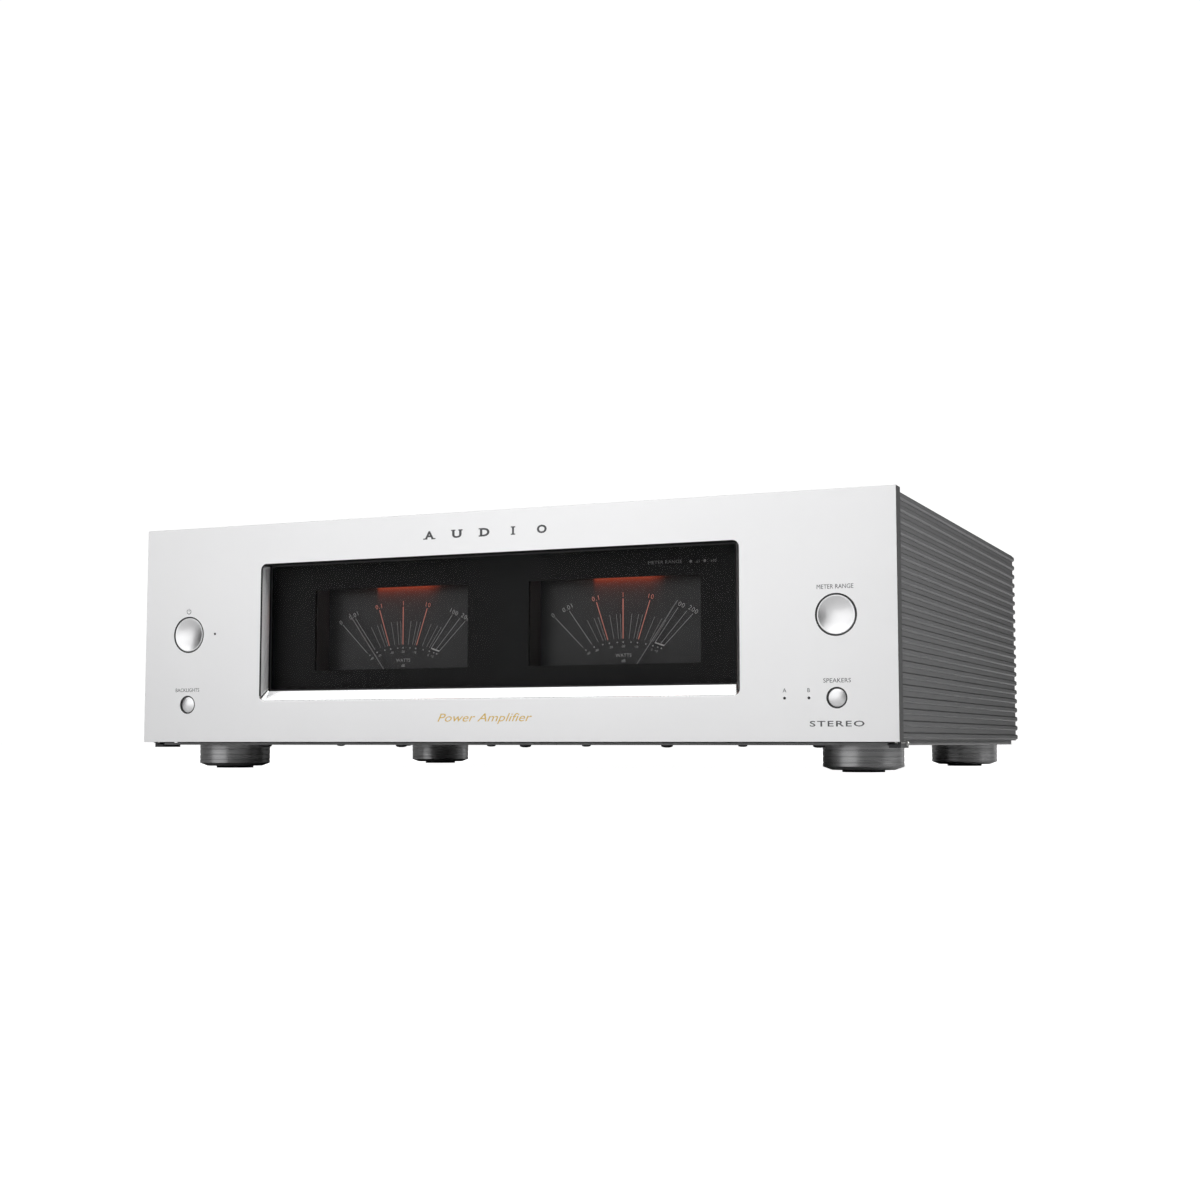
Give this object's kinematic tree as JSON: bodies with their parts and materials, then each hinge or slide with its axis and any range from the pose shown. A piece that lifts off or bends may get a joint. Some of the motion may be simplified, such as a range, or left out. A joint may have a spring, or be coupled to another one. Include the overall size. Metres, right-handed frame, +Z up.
{
  "type": "power amplifier",
  "caption": "Wide, low stereo power amplifier with a thick silver front plate, two lit needle meters behind a long window, push buttons, ribbed dark sides and round feet.",
  "frame": {"origin": "on the floor, under the middle of the bounding box", "axes": "+X to the right of a viewer who faces the front, +Y towards the rear, +Z up; the front plate faces -Y"},
  "size_m": [0.435, 0.34, 0.1353],
  "materials": {
    "silver_aluminium": "fine bead-blasted, satin clear anodised",
    "polished_aluminium": "turned and polished, dished",
    "gunmetal_aluminium": "dark grey anodised",
    "dark_steel": "dark grey textured paint",
    "zinc_steel": "zinc plated",
    "window_acrylic": "clear with a smoked tint, glossy",
    "black_plastic": "fine matt moulding",
    "dial_face": "dark satin dial with grey and red-orange markings",
    "needle_paint": "pale grey painted",
    "lamp_lens": "frosted red-orange lens",
    "rubber": "matt black",
    "circuit_board": "green solder mask",
    "wound_core": "dark insulating tape over a wound steel core",
    "capacitor_sleeve": "black shrink sleeve",
    "gilt_brass": "gold plated, knurled"
  },
  "bodies": {
    "chassis": {"front_plate": "silver_aluminium", "window_glass": "window_acrylic", "front_subchassis": "zinc_steel", "meter_mask": "black_plastic", "meter_housing_left": "black_plastic", "meter_housing_right": "black_plastic", "dial_left": "dial_face", "dial_right": "dial_face", "meter_movement_left": "zinc_steel", "meter_movement_right": "zinc_steel", "meter_lamp_left": "lamp_lens", "meter_lamp_right": "lamp_lens", "standby_led": "window_acrylic", "speaker_a_led": "window_acrylic", "speaker_b_led": "window_acrylic", "control_board_left": "circuit_board", "control_board_right": "circuit_board", "bottom_pan": "dark_steel", "top_cover": "gunmetal_aluminium", "rear_panel": "dark_steel", "side_panel_left": "gunmetal_aluminium", "side_panel_right": "gunmetal_aluminium", "corner_bracket_left": "zinc_steel", "corner_bracket_right": "zinc_steel", "foot_front_left": "gunmetal_aluminium", "foot_front_right": "gunmetal_aluminium", "foot_rear_left": "gunmetal_aluminium", "foot_rear_right": "gunmetal_aluminium", "foot_pad_front_left": "rubber", "foot_pad_front_right": "rubber", "foot_pad_rear_left": "rubber", "foot_pad_rear_right": "rubber", "heat_sink_left": "gunmetal_aluminium", "heat_sink_right": "gunmetal_aluminium", "amp_board_left": "circuit_board", "amp_board_right": "circuit_board", "transformer": "wound_core", "transformer_clamp": "zinc_steel", "power_supply_board": "circuit_board", "capacitor_left": "capacitor_sleeve", "capacitor_right": "capacitor_sleeve", "power_inlet": "black_plastic", "speaker_terminals_left": "black_plastic", "speaker_terminals_right": "black_plastic", "input_sockets": "black_plastic"},
    "standby_button": {"standby_button": "polished_aluminium"},
    "meter_range_button": {"meter_range_button": "polished_aluminium"},
    "backlight_button": {"backlight_button": "polished_aluminium"},
    "speaker_button": {"speaker_button": "polished_aluminium"},
    "needle_left": {"needle_left": "needle_paint"},
    "needle_right": {"needle_right": "needle_paint"},
    "power_rocker": {"power_rocker": "black_plastic"},
    "binding_cap_left_a_minus": {"binding_cap_left_a_minus": "gilt_brass"},
    "binding_cap_left_a_plus": {"binding_cap_left_a_plus": "gilt_brass"},
    "binding_cap_left_b_minus": {"binding_cap_left_b_minus": "gilt_brass"},
    "binding_cap_left_b_plus": {"binding_cap_left_b_plus": "gilt_brass"},
    "binding_cap_right_a_minus": {"binding_cap_right_a_minus": "gilt_brass"},
    "binding_cap_right_a_plus": {"binding_cap_right_a_plus": "gilt_brass"},
    "binding_cap_right_b_minus": {"binding_cap_right_b_minus": "gilt_brass"},
    "binding_cap_right_b_plus": {"binding_cap_right_b_plus": "gilt_brass"}
  },
  "joints": [
    {"name": "standby_button_press", "type": "slide", "parent": "chassis", "child": "standby_button", "axis": [0, 1, 0], "range_m": [0, 0.0012], "stiffness_N_per_m": 900, "springref_m": -0.0003},
    {"name": "meter_range_button_press", "type": "slide", "parent": "chassis", "child": "meter_range_button", "axis": [0, 1, 0], "range_m": [0, 0.0012], "stiffness_N_per_m": 900, "springref_m": -0.0003},
    {"name": "backlight_button_press", "type": "slide", "parent": "chassis", "child": "backlight_button", "axis": [0, 1, 0], "range_m": [0, 0.0012], "stiffness_N_per_m": 900, "springref_m": -0.0003},
    {"name": "speaker_button_press", "type": "slide", "parent": "chassis", "child": "speaker_button", "axis": [0, 1, 0], "range_m": [0, 0.0012], "stiffness_N_per_m": 900, "springref_m": -0.0003},
    {"name": "needle_left_swing", "type": "hinge", "parent": "chassis", "child": "needle_left", "pos_m": [-0.0658, -0.1445, 0.0413], "axis": [0, 1, 0], "range_deg": [-9.2, 80.8], "stiffness_Nm_per_rad": 0.0005},
    {"name": "needle_right_swing", "type": "hinge", "parent": "chassis", "child": "needle_right", "pos_m": [0.0658, -0.1445, 0.0413], "axis": [0, 1, 0], "range_deg": [-80, 10], "stiffness_Nm_per_rad": 0.0005},
    {"name": "power_rocker_tilt", "type": "hinge", "parent": "chassis", "child": "power_rocker", "pos_m": [-0.168, 0.1474, 0.0758], "axis": [1, 0, 0], "range_deg": [-20, 0]},
    {"name": "binding_cap_left_a_minus_turn", "type": "hinge", "parent": "chassis", "child": "binding_cap_left_a_minus", "pos_m": [0.04548, 0.1533, 0.0948], "axis": [0, 1, 0], "continuous": true},
    {"name": "binding_cap_left_a_plus_turn", "type": "hinge", "parent": "chassis", "child": "binding_cap_left_a_plus", "pos_m": [0.06452, 0.1533, 0.0948], "axis": [0, 1, 0], "continuous": true},
    {"name": "binding_cap_left_b_minus_turn", "type": "hinge", "parent": "chassis", "child": "binding_cap_left_b_minus", "pos_m": [0.04548, 0.1533, 0.0628], "axis": [0, 1, 0], "continuous": true},
    {"name": "binding_cap_left_b_plus_turn", "type": "hinge", "parent": "chassis", "child": "binding_cap_left_b_plus", "pos_m": [0.06452, 0.1533, 0.0628], "axis": [0, 1, 0], "continuous": true},
    {"name": "binding_cap_right_a_minus_turn", "type": "hinge", "parent": "chassis", "child": "binding_cap_right_a_minus", "pos_m": [-0.06452, 0.1533, 0.0948], "axis": [0, 1, 0], "continuous": true},
    {"name": "binding_cap_right_a_plus_turn", "type": "hinge", "parent": "chassis", "child": "binding_cap_right_a_plus", "pos_m": [-0.04548, 0.1533, 0.0948], "axis": [0, 1, 0], "continuous": true},
    {"name": "binding_cap_right_b_minus_turn", "type": "hinge", "parent": "chassis", "child": "binding_cap_right_b_minus", "pos_m": [-0.06452, 0.1533, 0.0628], "axis": [0, 1, 0], "continuous": true},
    {"name": "binding_cap_right_b_plus_turn", "type": "hinge", "parent": "chassis", "child": "binding_cap_right_b_plus", "pos_m": [-0.04548, 0.1533, 0.0628], "axis": [0, 1, 0], "continuous": true}
  ]
}
